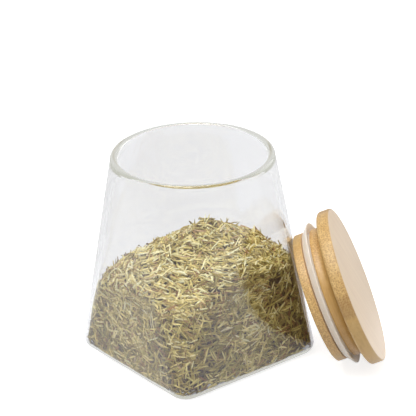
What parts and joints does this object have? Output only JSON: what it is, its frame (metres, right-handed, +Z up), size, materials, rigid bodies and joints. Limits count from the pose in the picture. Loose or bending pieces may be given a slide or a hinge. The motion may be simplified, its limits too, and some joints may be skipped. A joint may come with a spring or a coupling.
{
  "type": "herb keeper jar",
  "caption": "Clear glass jar with a square foot and round mouth, part filled with dried herb needles; a bamboo stopper lid with a sealing ring leans on its corner.",
  "frame": {"origin": "middle of the jar's flat foot, on the table it stands on", "axes": "+Z up along the jar's axis; the square foot's corners point along X and Y; +X runs from the axis through the corner that the lid leans on"},
  "size_m": [0.1512, 0.1152, 0.106],
  "materials": {
    "borosilicate_glass": "gloss",
    "dried_needles": "matte",
    "bamboo": "satin",
    "silicone": "satin"
  },
  "bodies": {
    "jar": {"glass_jar": "borosilicate_glass", "dried_herbs": "dried_needles"},
    "lid": {"lid_cap": "bamboo", "lid_plug": "bamboo", "sealing_ring": "silicone"}
  },
  "joints": [
    {"name": "lid_lift", "type": "slide", "parent": "jar", "child": "lid", "axis": [0, 0, 1], "range_m": [0, 0.13]}
  ]
}
